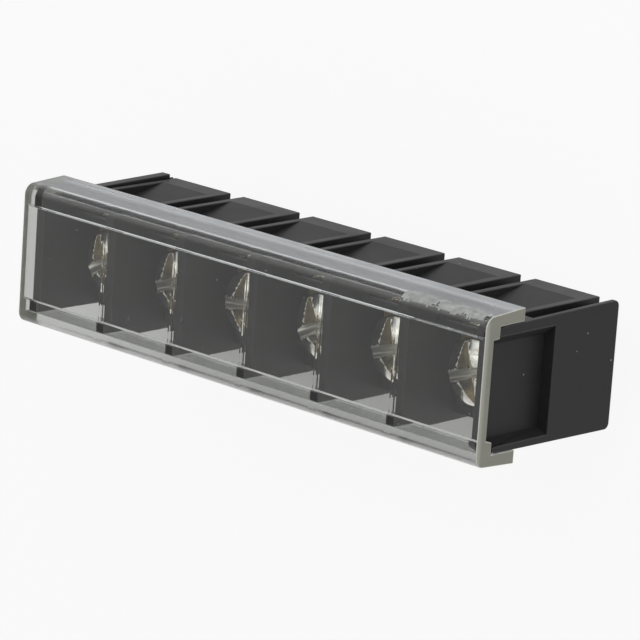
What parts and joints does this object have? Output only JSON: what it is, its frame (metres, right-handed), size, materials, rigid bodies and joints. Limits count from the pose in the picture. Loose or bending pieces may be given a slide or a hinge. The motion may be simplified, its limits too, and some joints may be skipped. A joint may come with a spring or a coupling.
{
  "type": "pcb terminal block",
  "caption": "Black barrier terminal block for a circuit board, with open screw-clamp cells in a row, brass terminals with solder pins and a clear clip-on cover.",
  "frame": {"origin": "middle of the row of poles, on the housing face that sits on the circuit board", "axes": "+X along the row, +Y from the wire entry to the rear, +Z away from the board towards the cover"},
  "size_m": [0.0598, 0.0144, 0.0229],
  "materials": {
    "housing": "fine moulded texture",
    "cover": "clear polished plastic",
    "terminal": "satin",
    "screw": "bright plated"
  },
  "bodies": {
    "housing": {"housing": "housing", "terminal_1": "terminal", "terminal_2": "terminal", "terminal_3": "terminal", "terminal_4": "terminal", "terminal_5": "terminal", "terminal_6": "terminal"},
    "cover": {"cover": "cover"},
    "screw_1": {"screw_1": "screw"},
    "screw_2": {"screw_2": "screw"},
    "screw_3": {"screw_3": "screw"},
    "screw_4": {"screw_4": "screw"},
    "screw_5": {"screw_5": "screw"},
    "screw_6": {"screw_6": "screw"}
  },
  "joints": [
    {"name": "cover_lift", "type": "slide", "parent": "housing", "child": "cover", "axis": [0, 0, 1], "range_m": [0, 0.008]},
    {"name": "screw_1_turn", "type": "hinge", "parent": "housing", "child": "screw_1", "pos_m": [-0.02375, -0.0005, 0.0105], "axis": [0, 0, 1], "range_deg": [0, 1530]},
    {"name": "screw_2_turn", "type": "hinge", "parent": "housing", "child": "screw_2", "pos_m": [-0.01425, -0.0005, 0.0105], "axis": [0, 0, 1], "range_deg": [0, 1530]},
    {"name": "screw_3_turn", "type": "hinge", "parent": "housing", "child": "screw_3", "pos_m": [-0.00475, -0.0005, 0.0105], "axis": [0, 0, 1], "range_deg": [0, 1530]},
    {"name": "screw_4_turn", "type": "hinge", "parent": "housing", "child": "screw_4", "pos_m": [0.00475, -0.0005, 0.0105], "axis": [0, 0, 1], "range_deg": [0, 1530]},
    {"name": "screw_5_turn", "type": "hinge", "parent": "housing", "child": "screw_5", "pos_m": [0.01425, -0.0005, 0.0105], "axis": [0, 0, 1], "range_deg": [0, 1530]},
    {"name": "screw_6_turn", "type": "hinge", "parent": "housing", "child": "screw_6", "pos_m": [0.02375, -0.0005, 0.0105], "axis": [0, 0, 1], "range_deg": [0, 1530]}
  ]
}
